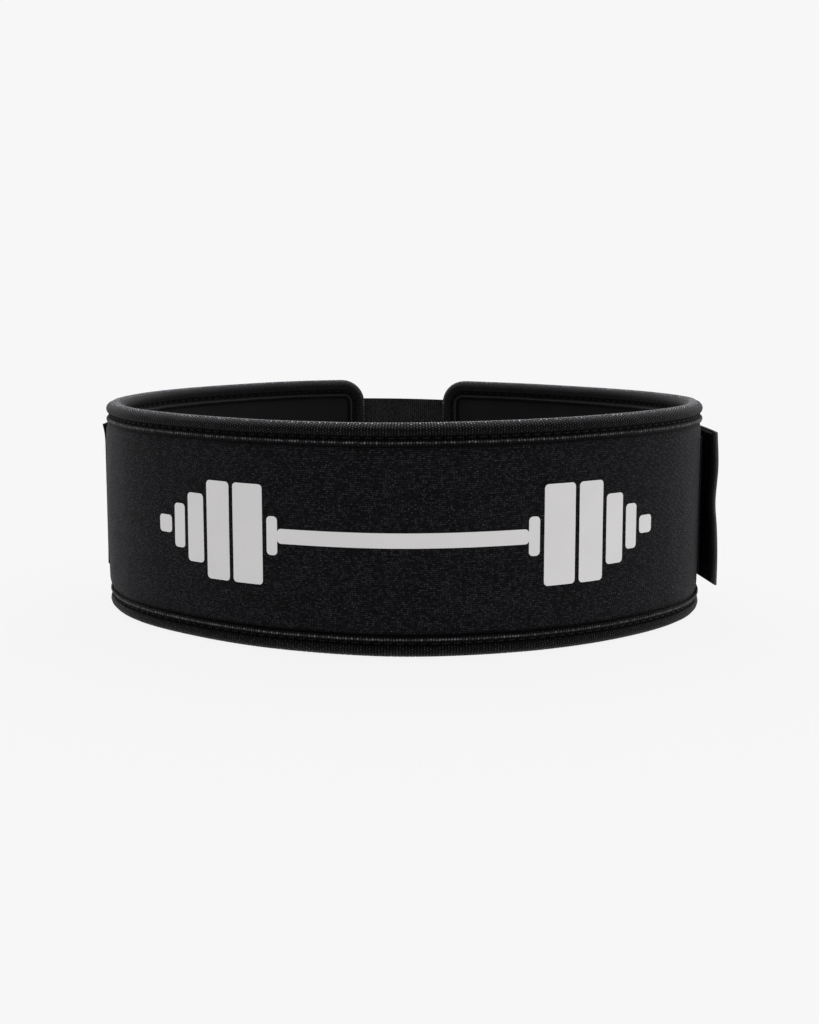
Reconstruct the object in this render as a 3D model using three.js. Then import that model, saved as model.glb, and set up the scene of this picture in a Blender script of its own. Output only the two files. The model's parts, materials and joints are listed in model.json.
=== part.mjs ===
// A padded weightlifting belt that closes with a hook-and-loop strap, standing on its lower edge.
// Millimetres, +Z up. The middle of the back panel is at -Y, and the two ends of the pad are at +Y.
//
// Each piece is drawn on the belt laid out flat, and is then bent round the loop. A flat point has
//   along   its distance round the loop from the middle of the back panel, growing towards +X,
//   height  its distance above the belt's lower edge,
//   out     its distance from the middle of the wall, growing away from the waist.
import * as THREE from "three";

// The belt
const beltHeight = 100;
const loopWidth = 279; // between the middles of the wall, side to side
const loopDepth = 242; // and from the back panel to the ends
const endGap = 42; // between the two ends of the pad
const padThickness = 8.4;
const cornerRadius = 12.5; // corners of the pad's ends, over the binding
const innerCornerRadius = 2.5; // corners of the binding's inner edge
const clearance = 0.3; // between two pieces that are sewn or pressed together

// The tape that is folded over the edge
const bindingWidth = 10; // from the fold to each edge of the tape
const bindingThickness = 0.9;
const rollThickness = 9; // through the bound edge where it is thickest

// The strap and its fastener
const strapWidth = 74;
const strapThickness = 1.2;
const strapRise = -1.3; // the strap's middle over the belt's, at its free end
const rootRise = 4.5; // and how much higher it is sewn on at its root
const hookThickness = 1;
const hookLength = 130;
const hookInset = 2; // from the hook tape's edges to the strap's
const panelWidth = 65;
const panelThickness = 1; // and the depth that the pad's face is set back under it
const panelInset = 8; // from the loop panel to the binding of the pad's end
const flapRun = 30; // length of the free end that stands off the pad
const flapLift = 6.2; // how far it stands off where it is widest open

// Bearings round the loop, in degrees from the middle of the back panel towards +X
const panelBearing = 80.5; // front edge of the loop panel
const flapBearing = 79; // free end of the strap
const gapBearing = 180; // middle of the gap between the ends
const rootBearing = 276; // where the strap is sewn on

// The loop, seen from above: how far the wall stands out, as a share of an oval of loopWidth and
// loopDepth, and how high its upper edge is, as a share of beltHeight.
const loopShape = [
  { bearing: 0, reach: 1, rim: 0.999 },
  { bearing: 22.5, reach: 0.994, rim: 1.004 },
  { bearing: 45, reach: 0.99, rim: 1.007 },
  { bearing: 67.5, reach: 1.006, rim: 1.006 },
  { bearing: 90, reach: 1, rim: 1.003 },
  { bearing: 112.5, reach: 0.96, rim: 0.999 },
  { bearing: 135, reach: 0.935, rim: 0.997 },
  { bearing: 157.5, reach: 0.955, rim: 0.999 },
  { bearing: 180, reach: 0.998, rim: 1.003 },
  { bearing: 202.5, reach: 0.996, rim: 1.004 },
  { bearing: 225, reach: 0.98, rim: 1 },
  { bearing: 247.5, reach: 0.99, rim: 0.997 },
  { bearing: 270, reach: 1, rim: 0.994 },
  { bearing: 292.5, reach: 0.974, rim: 0.994 },
  { bearing: 315, reach: 0.944, rim: 0.995 },
  { bearing: 337.5, reach: 0.963, rim: 0.996 },
];

// The bound edge in section, from the fold inwards: inset as a share of bindingWidth, and out as
// a share of half of rollThickness. The seam pulls the tape in, and its edge stands up beside it.
const bindingSection = [
  { inset: 0, out: 0.36 },
  { inset: 0.1, out: 0.8 },
  { inset: 0.32, out: 1 },
  { inset: 0.6, out: 0.7 },
  { inset: 0.8, out: 0.98 },
  { inset: 1, out: 0.94 },
];

// The free end of the strap, from its lower edge to its upper one: how far it stands off the pad,
// as a share of flapLift.
const flapWave = [
  { height: 0, lift: 1 },
  { height: 0.2, lift: 1 },
  { height: 0.38, lift: 0.9 },
  { height: 0.55, lift: 0.74 },
  { height: 0.78, lift: 0.89 },
  { height: 1, lift: 0.76 },
];

// Facets
const columnStep = 17; // between two upright lines
const closestColumns = 3;
const cornerSteps = 5;
const endRun = cornerRadius + closestColumns; // from the pad's ends to the nearest upright line

const loop = new THREE.CatmullRomCurve3(
  loopShape.map(({ bearing, reach, rim }) => {
    const angle = THREE.MathUtils.degToRad(bearing);
    const x = (loopWidth / 2) * reach * Math.sin(angle);
    const y = -(loopDepth / 2) * reach * Math.cos(angle);
    return new THREE.Vector3(x, y, rim * beltHeight);
  }),
  true,
  "catmullrom",
);
loop.arcLengthDivisions = 1440;
const girth = loop.getLength();

function alongAt(bearing) {
  const step = Math.round((bearing / 360) * loop.arcLengthDivisions);
  return loop.getLengths()[step];
}

// Places along the belt
const padRightEnd = alongAt(gapBearing) - endGap / 2;
const padLeftEnd = alongAt(gapBearing) + endGap / 2;
const flapEnd = alongAt(flapBearing);
const hookFront = flapEnd + hookInset;
const hookBack = hookFront + hookLength;
const panelFront = alongAt(panelBearing);
const panelBack = padRightEnd - bindingWidth - panelInset;
const strapRoot = alongAt(rootBearing);
const recessFront = panelFront - clearance;
const recessBack = panelBack + clearance;
const recessEdges = [recessFront - clearance, recessFront, recessBack, recessBack + clearance];

// Places through the wall
const faceOut = padThickness / 2;
const recessOut = faceOut - panelThickness;
const panelOut = recessOut + clearance;
const strapOverPanel = panelOut + panelThickness + clearance;
const strapOverHook = strapOverPanel + hookThickness + clearance;
const strapOverEdge = Math.max(faceOut, rollThickness / 2) + clearance;

// Bends a flat point round the loop. The wall stands upright on its lower edge.
function bend(along, height, out) {
  const share = THREE.MathUtils.euclideanModulo(along / girth, 1);
  const middle = loop.getPointAt(share);
  const heading = loop.getTangentAt(share).setZ(0).normalize();
  return new THREE.Vector3(
    middle.x + heading.y * out,
    middle.y - heading.x * out,
    (height * middle.z) / beltHeight,
  );
}

// The upright lines that all pieces share between two places, so that their facets run parallel
// and the gaps between them stay even.
function columnsBetween(from, to) {
  const fixed = [
    flapEnd,
    hookFront,
    hookBack,
    ...recessEdges,
    panelFront,
    panelBack,
    padRightEnd - endRun,
    padRightEnd - cornerRadius / 2,
    padRightEnd,
    padLeftEnd,
    padLeftEnd + cornerRadius / 2,
    padLeftEnd + endRun,
    strapRoot,
  ].flatMap((along) => [along - girth, along]);
  const step = girth / Math.round(girth / columnStep);
  const columns = fixed.filter((along) => along > from && along < to);
  for (let along = -girth; along < 2 * girth; along += step) {
    const nearest = Math.min(...[...fixed, from, to].map((place) => Math.abs(place - along)));
    if (along > from && along < to && nearest > closestColumns) columns.push(along);
  }
  return [...new Set([from, ...columns, to])].sort((a, b) => a - b);
}

// A quad that faces the other way and is still split from its first corner to its third.
const turned = ([a, b, c, d]) => [a, d, c, b];

function geometryOf(points, quads) {
  const corners = quads.flatMap(([a, b, c, d]) => [a, b, c, a, c, d]);
  const geometry = new THREE.BufferGeometry().setFromPoints(points).setIndex(corners);
  geometry.computeVertexNormals();
  return geometry;
}

const padColumns = columnsBetween(padLeftEnd - girth + endRun, padRightEnd - endRun);

// One turn round the pad's outline, set in from its edge: from the left end to the right one along
// the lower edge, and back along the upper one.
function outlineRing({ inset, out }, outAt = () => out) {
  const radius = Math.max(cornerRadius - inset, innerCornerRadius);
  const left = padLeftEnd - girth + inset;
  const right = padRightEnd - inset;
  const corner = [];
  for (let step = 0; step <= cornerSteps; step++) {
    const angle = ((step / cornerSteps) * Math.PI) / 2;
    const run = radius * (1 - Math.cos(angle));
    corner.push({ run, height: inset + radius * (1 - Math.sin(angle)) });
  }
  const lower = [
    ...corner.map(({ run, height }) => ({ along: left + run, height })),
    ...padColumns.map((along) => ({ along, height: inset })),
    ...corner.map(({ run, height }) => ({ along: right - run, height })).reverse(),
  ];
  const upper = lower.map(({ along, height }) => ({ along, height: beltHeight - height }));
  return [...lower, ...upper.reverse()].map(({ along, height }) => bend(along, height, outAt(along)));
}

// The skin between each ring and the next one.
function skinOf(rings, isClosed) {
  const count = rings[0].length;
  const quads = [];
  for (let ring = 0; ring < rings.length - (isClosed ? 0 : 1); ring++) {
    const here = ring * count;
    const next = ((ring + 1) % rings.length) * count;
    for (let a = 0; a < count; a++) {
      const b = (a + 1) % count;
      quads.push([here + a, next + a, next + b, here + b]);
    }
  }
  return quads;
}

// The flat face inside the ring that starts at a point's number, joined across from edge to edge.
function faceInside(start, count, isOuter) {
  const quads = [];
  for (let a = 0; a < count / 2 - 1; a++) {
    const across = count - 1 - a;
    const quad = [a, a + 1, across - 1, across].map((corner) => start + corner);
    quads.push(isOuter ? quad : turned(quad));
  }
  return quads;
}

// The bound edge's section as lengths, on the outer side of the wall.
const foldedTape = bindingSection.map(({ inset, out }) => ({
  inset: inset * bindingWidth,
  out: (out * rollThickness) / 2,
}));

// A section drawn again a little way inside the one it is given. The part on the waist's side
// mirrors it, so the fold's flat runs straight across.
function insideOf(section, distance) {
  const fold = { inset: section[0].inset, out: -section[0].out };
  const path = [fold, ...section];
  const inward = path.slice(1).map((point, i) => {
    const run = point.inset - path[i].inset;
    const rise = point.out - path[i].out;
    const length = Math.hypot(run, rise);
    return { inset: rise / length, out: -run / length };
  });
  return section.map(({ inset, out }, i) => {
    const before = inward[i];
    const after = inward[i + 1] ?? before;
    const spread = 1 + before.inset * after.inset + before.out * after.out;
    return {
      inset: inset + (distance * (before.inset + after.inset)) / spread,
      out: out + (distance * (before.out + after.out)) / spread,
    };
  });
}

const mirrored = (section) => section.map(({ inset, out }) => ({ inset, out: -out }));

// From the outer side over the fold to the waist's side.
const overTheEdge = (section) => [...section].reverse().concat(mirrored(section));

function bindingGeometry() {
  const outside = overTheEdge(foldedTape);
  const inside = overTheEdge(insideOf(foldedTape, bindingThickness)).reverse();
  const rings = [...outside, ...inside].map((point) => outlineRing(point));
  return geometryOf(rings.flat(), skinOf(rings, true));
}

function padGeometry() {
  const edge = insideOf(foldedTape, bindingThickness + clearance);
  const face = { inset: bindingWidth + clearance, out: faceOut };
  const shoulder = { inset: face.inset, out: edge[edge.length - 1].out };
  const section = [...edge.slice(0, -1), shoulder, face];
  const isRecessed = (along) => along >= recessFront && along <= recessBack;
  const outerFace = outlineRing(face, (along) => (isRecessed(along) ? recessOut : faceOut));
  const rings = [outerFace, ...overTheEdge(section).slice(1).map((point) => outlineRing(point))];
  const count = rings[0].length;
  const quads = [
    ...faceInside(0, count, true),
    ...skinOf(rings, false),
    ...faceInside((rings.length - 1) * count, count, false),
  ];
  return geometryOf(rings.flat(), quads);
}

// A strip of webbing or tape, between its first and last column and its lowest and highest row.
// heightAt(along, share) gives a row's height, and innerOut how far out the inner face lies there.
function stripGeometry({ columns, rows, thickness, heightAt, innerOut }) {
  const points = rows.flatMap((share) =>
    columns.flatMap((along) => {
      const height = heightAt(along, share);
      const out = innerOut(along, share);
      return [bend(along, height, out), bend(along, height, out + thickness)];
    }),
  );
  const inner = (row, column) => 2 * (row * columns.length + column);
  const outer = (row, column) => inner(row, column) + 1;
  const top = rows.length - 1;
  const end = columns.length - 1;
  const quads = [];
  const addEdge = (from, to) => quads.push([inner(...from), inner(...to), outer(...to), outer(...from)]);
  for (let row = 0; row < top; row++) {
    for (let column = 0; column < end; column++) {
      const around = [[row, column], [row, column + 1], [row + 1, column + 1], [row + 1, column]];
      quads.push(around.map((place) => outer(...place)));
      quads.push(turned(around.map((place) => inner(...place))));
    }
    addEdge([row, end], [row + 1, end]);
    addEdge([row + 1, 0], [row, 0]);
  }
  for (let column = 0; column < end; column++) {
    addEdge([0, column], [0, column + 1]);
    addEdge([top, column + 1], [top, column]);
  }
  return geometryOf(points, quads);
}

// The height on the strap at a share of its width. It climbs from its free end to its root.
function onStrap(along, share) {
  const way = THREE.MathUtils.clamp((along - flapEnd) / (strapRoot - flapEnd), 0, 1);
  const rise = strapRise + rootRise * Math.sin((way * Math.PI) / 2);
  return beltHeight / 2 + rise + (share - 0.5) * strapWidth;
}

// The height on the loop panel, which is sewn on level.
const onPanel = (along, share) => beltHeight / 2 + (share - 0.5) * panelWidth;

// The value at a place, on straight lines between a table's rows.
function between(table, place, value, at) {
  const next = table.findIndex((row) => row[place] >= at);
  if (next === 0) return table[0][value];
  if (next < 0) return table[table.length - 1][value];
  const before = table[next - 1];
  const after = table[next];
  const share = (at - before[place]) / (after[place] - before[place]);
  return THREE.MathUtils.lerp(before[value], after[value], share);
}

// How far out the strap's inner face lies: over the hook tape and the loop panel under its free
// end, and against the bindings from the pad's right end to its root.
const strapRoute = [
  { along: hookBack, out: strapOverHook },
  { along: panelBack, out: strapOverPanel },
  { along: padRightEnd, out: strapOverEdge },
];

function strapOut(along, share) {
  const opening = Math.max(0, (flapEnd + flapRun - along) / flapRun);
  const lift = flapLift * between(flapWave, "height", "lift", share) * opening ** 2;
  return between(strapRoute, "along", "out", along) + lift;
}

function strapGeometry() {
  return stripGeometry({
    columns: columnsBetween(flapEnd, strapRoot),
    rows: flapWave.map(({ height }) => height),
    thickness: strapThickness,
    heightAt: onStrap,
    innerOut: strapOut,
  });
}

function hookGeometry() {
  const edge = hookInset / strapWidth;
  return stripGeometry({
    columns: columnsBetween(hookFront, hookBack),
    rows: [edge, ...flapWave.slice(1, -1).map(({ height }) => height), 1 - edge],
    thickness: hookThickness,
    heightAt: onStrap,
    innerOut: (along, share) => strapOut(along, share) - clearance - hookThickness,
  });
}

function panelGeometry() {
  return stripGeometry({
    columns: columnsBetween(panelFront, panelBack),
    rows: [0, 1],
    thickness: panelThickness,
    heightAt: onPanel,
    innerOut: () => panelOut,
  });
}

function pieceOf(name, geometry, color, roughness) {
  const material = new THREE.MeshStandardMaterial({ color, roughness, metalness: 0 });
  const piece = new THREE.Mesh(geometry, material);
  piece.name = name;
  return piece;
}

const belt = new THREE.Group();
belt.add(
  pieceOf("support_pad", padGeometry(), 0x1d1d1f, 0.9),
  pieceOf("edge_binding", bindingGeometry(), 0x242426, 0.8),
  pieceOf("closure_strap", strapGeometry(), 0x1b1b1d, 0.75),
  pieceOf("hook_tape", hookGeometry(), 0x0c0c0d, 0.95),
  pieceOf("loop_panel", panelGeometry(), 0x151517, 1),
);

// The belt stands in the middle of its own footprint.
const footprint = new THREE.Box3().setFromObject(belt, true);
const middle = footprint.getCenter(new THREE.Vector3());
belt.position.set(-middle.x, -middle.y, -footprint.min.z);

export default belt;
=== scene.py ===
# A padded lifting belt that stands on its lower edge, closed over its end gap by a wide strap.
import json
import math

import bmesh
import bpy
import numpy as np
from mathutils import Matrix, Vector, noise

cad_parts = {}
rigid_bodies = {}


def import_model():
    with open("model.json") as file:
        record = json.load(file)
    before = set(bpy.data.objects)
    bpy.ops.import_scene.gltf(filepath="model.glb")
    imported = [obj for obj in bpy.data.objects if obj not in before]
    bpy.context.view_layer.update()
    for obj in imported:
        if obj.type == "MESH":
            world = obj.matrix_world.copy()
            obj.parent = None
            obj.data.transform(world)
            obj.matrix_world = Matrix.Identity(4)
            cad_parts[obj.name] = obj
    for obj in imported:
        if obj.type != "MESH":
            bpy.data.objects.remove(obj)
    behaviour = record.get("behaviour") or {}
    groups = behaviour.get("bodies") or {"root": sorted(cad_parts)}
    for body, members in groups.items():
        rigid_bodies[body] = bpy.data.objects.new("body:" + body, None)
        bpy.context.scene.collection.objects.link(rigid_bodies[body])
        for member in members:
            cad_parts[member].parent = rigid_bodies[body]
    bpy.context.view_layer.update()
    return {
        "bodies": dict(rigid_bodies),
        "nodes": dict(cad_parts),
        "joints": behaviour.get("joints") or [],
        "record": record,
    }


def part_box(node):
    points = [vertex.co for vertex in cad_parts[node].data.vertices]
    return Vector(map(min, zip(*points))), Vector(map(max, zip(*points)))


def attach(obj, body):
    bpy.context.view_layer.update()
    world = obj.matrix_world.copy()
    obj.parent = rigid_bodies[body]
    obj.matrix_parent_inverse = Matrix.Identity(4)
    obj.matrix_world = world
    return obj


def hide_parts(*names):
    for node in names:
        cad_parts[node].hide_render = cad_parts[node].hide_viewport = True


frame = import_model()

mm = 0.001
pi = math.pi

# The belt's own sizes. Each piece is made on the belt laid flat, with x along it from the middle of
# the back panel, z up it, and y through its wall towards the waist, and is then bent round the loop.
belt = {
    "height": 100 * mm,
    "loopWidth": 280.5 * mm,
    "loopDepth": 242 * mm,
    "endGap": 45 * mm,
    "cornerRadius": 12.5 * mm,
    "gapBearing": 180,
    # bearing from the back panel's middle, reach as a share of the oval, rim as a share of the height
    "shape": [
        (0, 1, 0.999), (22.5, 0.994, 1.004), (45, 0.99, 1.007), (67.5, 1.006, 1.006),
        (90, 1, 1.003), (112.5, 0.96, 0.999), (135, 0.935, 0.997), (157.5, 0.955, 0.999),
        (180, 0.998, 1.003), (202.5, 0.996, 1.004), (225, 0.98, 1), (247.5, 0.99, 0.997),
        (270, 1, 0.994), (292.5, 0.974, 0.994), (315, 0.944, 0.995), (337.5, 0.963, 0.996),
    ],
}
height = belt["height"]


def throughRows(rows, steps, isClosed=False):
    # a smooth line through a table's rows
    points = np.array(rows, float)
    if isClosed:
        points = np.vstack([points[-1:], points, points[:2]])
    else:
        points = np.vstack([2 * points[0] - points[1], points, 2 * points[-1] - points[-2]])
    t = np.linspace(0, 1, steps, endpoint=False)[:, None]
    line = []
    for a, b, c, d in zip(points, points[1:], points[2:], points[3:]):
        cubic = (3 * b - 3 * c + d - a) * t**3 + (2 * a - 5 * b + 4 * c - d) * t**2
        line.append((cubic + (c - a) * t) / 2 + b)
    return np.vstack(line + [points[-2:-1]])


def loopLine():
    bearing, reach, rim = np.array(belt["shape"]).T
    angle = np.radians(bearing)
    x = belt["loopWidth"] / 2 * reach * np.sin(angle)
    y = -belt["loopDepth"] / 2 * reach * np.cos(angle)
    return throughRows(np.column_stack([x, y, rim]), 90, isClosed=True)


line = loopLine()
lineRun = np.concatenate([[0], np.cumsum(np.linalg.norm(np.diff(line * (1, 1, height), axis=0), axis=1))])
girth = lineRun[-1]
lineTurn = np.gradient(np.vstack([line[-2:-1], line, line[1:2]])[:, :2], axis=0)[1:-1]
lineTurn /= np.linalg.norm(lineTurn, axis=1)[:, None]


def alongAt(bearing):
    return lineRun[round(bearing / 360 * (len(line) - 1))]


def bent(flat):
    # flat points, wrapped round the loop
    share = np.mod(flat[:, 0], girth)
    x, y, rim = (np.interp(share, lineRun, line[:, k]) for k in range(3))
    headX, headY = (np.interp(share, lineRun, lineTurn[:, k]) for k in range(2))
    out = -flat[:, 1]
    return np.column_stack([x + headY * out, y - headX * out, flat[:, 2] * rim])


padRight = alongAt(belt["gapBearing"]) - belt["endGap"] / 2
padLeft = alongAt(belt["gapBearing"]) + belt["endGap"] / 2 - girth


def loopCentre():
    # the loop's centre in the frame, from the box of the bound edge
    reach = 4.5 * mm
    low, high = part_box("edge_binding")
    ring = bent(np.column_stack([lineRun, np.full(len(lineRun), -reach), np.zeros(len(lineRun))]))
    return np.array([(low.x + high.x - ring[:, 0].min() - ring[:, 0].max()) / 2,
                     low.y - ring[:, 1].min(), 0])


centre = loopCentre()
print("loop", round(girth / mm, 1), "mm round, centre", centre.round(5))


# Modelling by hand
def alone(piece):
    bpy.ops.object.select_all(action="DESELECT")
    piece.select_set(True)
    bpy.context.view_layer.objects.active = piece


def added(name):
    piece = bpy.context.active_object
    piece.name = name
    piece.data.name = name
    return piece


def pick(piece, kind, test):
    # selects the edges or faces in edit mode that pass a test
    shape = bmesh.from_edit_mesh(piece.data)
    bpy.ops.mesh.select_all(action="DESELECT")
    for item in getattr(shape, kind):
        item.select_set(bool(test(item)))
    bmesh.update_edit_mesh(piece.data)


def applied(piece, kind, **settings):
    alone(piece)
    modifier = piece.modifiers.new(kind, kind)
    for key, value in settings.items():
        setattr(modifier, key, value)
    bpy.ops.object.modifier_apply(modifier=modifier.name)


def flatSheet(name, start, end, foot, top, step):
    # an upright grid between two places along the belt and two heights, facing out
    bpy.ops.object.select_all(action="DESELECT")
    columns = max(2, round((end - start) / step))
    rows = max(2, round((top - foot) / step))
    bpy.ops.mesh.primitive_grid_add(x_subdivisions=columns, y_subdivisions=rows, size=1,
                                    rotation=(pi / 2, 0, 0))
    piece = added(name)
    bpy.ops.object.transform_apply(location=False, rotation=True, scale=False)
    bpy.ops.object.mode_set(mode="EDIT")
    bpy.ops.mesh.select_all(action="SELECT")
    bpy.ops.transform.resize(value=(end - start, 1, top - foot))
    bpy.ops.transform.translate(value=((start + end) / 2, 0, (foot + top) / 2))
    bpy.ops.object.mode_set(mode="OBJECT")
    return piece


def pointsOf(piece):
    flat = np.empty(len(piece.data.vertices) * 3, np.float32)
    piece.data.vertices.foreach_get("co", flat)
    return flat.reshape(-1, 3).astype(float)


def setPoints(piece, points):
    piece.data.vertices.foreach_set("co", points.astype(np.float32).ravel())
    piece.data.update()


mapUnit = 100 * mm  # one unit of a piece's map, so that a map reads as decimetres of cloth


def setMap(piece, places, name="cloth"):
    # writes where each corner lies on the flat cloth
    layer = piece.data.uv_layers.new(name=name)
    corner = np.empty(len(piece.data.loops), np.int32)
    piece.data.loops.foreach_get("vertex_index", corner)
    layer.data.foreach_set("uv", (places[corner] / mapUnit).astype(np.float32).ravel())


def wrapped(piece, smooth=50):
    # bends a flat piece round the loop and puts it in the frame
    setPoints(piece, bent(pointsOf(piece)) + centre)
    alone(piece)
    bpy.ops.object.shade_smooth_by_angle(angle=math.radians(smooth))
    return piece


def rideRoot(piece, material, node=None):
    piece.data.materials.clear()
    piece.data.materials.append(material)
    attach(piece, "root")
    if node:
        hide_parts(node)


# Materials
class Value:  # a shader socket that Python's operators work on
    def __init__(self, shade, socket):
        self.shade, self.socket = shade, socket

    def __add__(self, other):
        return self.shade.math("ADD", self, other)

    def __radd__(self, other):
        return self.shade.math("ADD", other, self)

    def __sub__(self, other):
        return self.shade.math("SUBTRACT", self, other)

    def __rsub__(self, other):
        return self.shade.math("SUBTRACT", other, self)

    def __mul__(self, other):
        return self.shade.math("MULTIPLY", self, other)

    def __rmul__(self, other):
        return self.shade.math("MULTIPLY", other, self)

    def __truediv__(self, other):
        return self.shade.math("DIVIDE", self, other)

    def __mod__(self, other):
        return self.shade.math("FLOORED_MODULO", self, other)

    def __gt__(self, other):
        return self.shade.math("GREATER_THAN", self, other)


class Shade:  # the nodes of one material or world
    def __init__(self, owner):
        owner.use_nodes = True
        self.owner = owner
        self.tree = owner.node_tree
        self.tree.nodes.clear()

    def node(self, kind, settings, values, output=0):
        made = self.tree.nodes.new("ShaderNode" + kind)
        for key, value in settings.items():
            setattr(made, key, value)
        for key, value in values.items():
            if isinstance(value, Value):
                self.tree.links.new(value.socket, made.inputs[key])
            else:
                made.inputs[key].default_value = value
        if len(made.outputs):
            return Value(self, made.outputs[output])

    def split(self, vector):
        parts = self.node("SeparateXYZ", {}, {"Vector": vector}).socket.node
        return [Value(self, parts.outputs[axis]) for axis in "XYZ"]

    def map(self, name):  # a piece's map, in millimetres
        x, y, _ = self.split(self.node("UVMap", {"uv_map": name}, {}))
        return x * (mapUnit / mm), y * (mapUnit / mm)

    def math(self, operation, a, b=0.0, clamp=False):
        return self.node("Math", {"operation": operation, "use_clamp": clamp}, {0: a, 1: b})

    def wave(self, phase):  # 0 to 1 and back as phase grows by 1
        return self.math("COSINE", phase * (2 * pi)) * -0.5 + 0.5

    def clamped(self, value):
        return self.math("ADD", value, 0.0, clamp=True)

    def ramp(self, value, low, high):  # 0 below low, 1 above high, smooth between
        return self.node("MapRange", {"interpolation_type": "SMOOTHSTEP"},
                         {"Value": value, "From Min": low, "From Max": high})

    def near(self, value, middle, width):  # 1 at the middle, falling to 0 at a width from it
        away = self.math("ABSOLUTE", value - middle)
        return 1 - self.ramp(away, 0, width)

    def place(self, x, y):
        return self.node("CombineXYZ", {}, {"X": x, "Y": y})

    def noise(self, place, scale, detail=2.0, roughness=0.5):
        return self.node("TexNoise", {"noise_dimensions": "2D"},
                         {"Vector": place, "Scale": scale, "Detail": detail, "Roughness": roughness})

    def chance(self, place):
        return self.node("TexWhiteNoise", {"noise_dimensions": "2D"}, {"Vector": place})

    def bump(self, height, strength, distance, normal=None):
        values = {"Height": height, "Strength": strength, "Distance": distance}
        if normal:
            values["Normal"] = normal
        return self.node("Bump", {}, values)

    def finished(self, colour, brightness, roughness, normal, **constants):
        # colour is scaled by brightness, and constants are sockets that stay the same all over
        base = self.node("VectorMath", {"operation": "SCALE"}, {0: colour, "Scale": brightness})
        values = {"Base Color": base, "Roughness": roughness, "Normal": normal}
        for key, value in constants.items():
            values[key.replace("_", " ")] = value
        self.node("OutputMaterial", {}, {"Surface": self.node("BsdfPrincipled", {}, values)})
        return self.owner


def clothShade(name):
    shade = Shade(bpy.data.materials.new(name))
    shade.along, shade.up = shade.map("cloth")
    shade.cloth = shade.place(shade.along, shade.up)
    return shade


coolTint = (0.93, 0.92, 1.0, 1)

knit = {
    "colour": (0.0101, 0.0101, 0.0119),
    "stitch": 1.25,  # mm along the belt
    "course": 0.85,  # mm up it
    "slant": 2.6,  # mm from one slanting rib to the next
    "slantFrom": (70, 150),  # mm along the belt, where the slant sets in
    "slantTo": (190, 260),  # and where it fades
    "lintShare": 0.0028,
    "tapeShadow": (0.8, 1.7),  # mm past the tape, where its painted shadow is full and where it ends
    "relief": 0.2 * mm,
    "roughness": 0.74,
    "sheen": 0.08,
}


def knitFace():
    # fine knit: staggered dashes, each a little different, with a few stray pale fibres, and the tape's
    # shadow painted beside it
    shade = clothShade("knit_face")
    inset, _ = shade.map("edge")
    drift = shade.noise(shade.cloth, 0.35, 2) - 0.5
    up = shade.up + drift * 0.5
    course = shade.math("FLOOR", up / knit["course"])
    place = shade.along / knit["stitch"] + shade.chance(shade.place(course, 3.1)) * 0.9 + course * 0.5
    stitch = shade.math("FLOOR", place)
    x = place - stitch - 0.5
    y = up / knit["course"] - course - 0.5
    dash = shade.clamped(1 - (x * x) * 3.6 - (y * y) * 4.8)
    chance = shade.chance(shade.place(stitch, course))
    cloudy = shade.noise(shade.cloth, 0.07, 3)
    grain = shade.noise(shade.place(shade.along * 0.55, shade.up * 1.9), 0.75, 3, 0.65)
    slant = shade.wave((shade.along * 0.62 + shade.up) / knit["slant"])
    leaning = shade.ramp(shade.along, *knit["slantFrom"]) * (1 - shade.ramp(shade.along, *knit["slantTo"]))
    lint = (shade.chance(shade.place(stitch + 0.5, course)) > 1 - knit["lintShare"]) * dash
    brightness = 0.08 + dash * (chance * chance * 3.6 + 0.25) + (cloudy - 0.5) * 0.5
    brightness = brightness + (grain - 0.5) * 3.0 + (slant - 0.5) * leaning * 0.5 + lint * 3.0
    # the tape's shadow on the face is painted in: the face is darker close to the tape's lip
    tapeShadow = shade.ramp(inset, *[binding["lip"] / mm + past for past in knit["tapeShadow"]])
    brightness = shade.math("MAXIMUM", brightness, 0.1) * (tapeShadow * 0.9 + 0.1)
    fibre = shade.noise(shade.cloth, 2.2, 4, 0.7)
    normal = shade.bump(dash + fibre * 0.6 + slant * leaning * 0.5, 0.9, knit["relief"])
    return shade.finished(knit["colour"], brightness, knit["roughness"], normal, Specular_IOR_Level=0.1,
                          Specular_Tint=coolTint, Sheen_Weight=knit["sheen"], Sheen_Roughness=0.28,
                          Sheen_Tint=coolTint)


liningCloth = {
    "colour": (0.0128, 0.0128, 0.0136),
    "weave": 0.6,  # mm
    "tapeShadow": 1.5,  # mm of painted shadow past the tape
    "relief": 0.08 * mm,
    "roughness": 0.7,
}


def smoothLining():
    # a close plain weave with hardly any relief, and the tape's shadow painted beside it
    shade = clothShade("smooth_lining")
    inset, _ = shade.map("edge")
    weave = shade.wave(shade.along / liningCloth["weave"]) * shade.wave(shade.up / liningCloth["weave"])
    cloudy = shade.noise(shade.cloth, 0.05, 3)
    fibre = shade.noise(shade.place(shade.along, shade.up * 0.5), 1.8, 3)
    # the tape's shadow on the lining is painted in: darker close to the tape's lip
    tapeShadow = shade.ramp(inset, binding["lip"] / mm, binding["lip"] / mm + liningCloth["tapeShadow"])
    brightness = (0.7 + weave * 0.3 + (cloudy - 0.5) * 0.4) * (tapeShadow * 0.8 + 0.2)
    normal = shade.bump(weave * 0.5 + fibre * 0.5, 0.5, liningCloth["relief"])
    return shade.finished(liningCloth["colour"], brightness, liningCloth["roughness"], normal,
                          Specular_IOR_Level=0.08)


tape = {
    "colour": (0.0052, 0.0051, 0.0056),
    "rib": 1.25,  # mm
    "bead": 1.15,
    "fold": (1.4, 3.2),  # mm from the fold's middle, where its painted highlight ends
    "seam": 2.2,  # mm of painted shade at either side of the seam
    "lip": 0.7,  # mm of painted highlight at either side of the cut edge's ridge
    "pastGrooveShade": (0.9, 1.3),  # mm past the seam, where the painted shade towards the cut edge begins
    "relief": 0.28 * mm,
    "roughness": 0.5,
    "sheen": 0.02,
}


def acrossAt(inset):
    # where a place on the bound edge lies across the tape, in mm
    return float(np.interp(inset, [a for a, b in binding["section"]], sectionRun()[1:])) / mm


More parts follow.
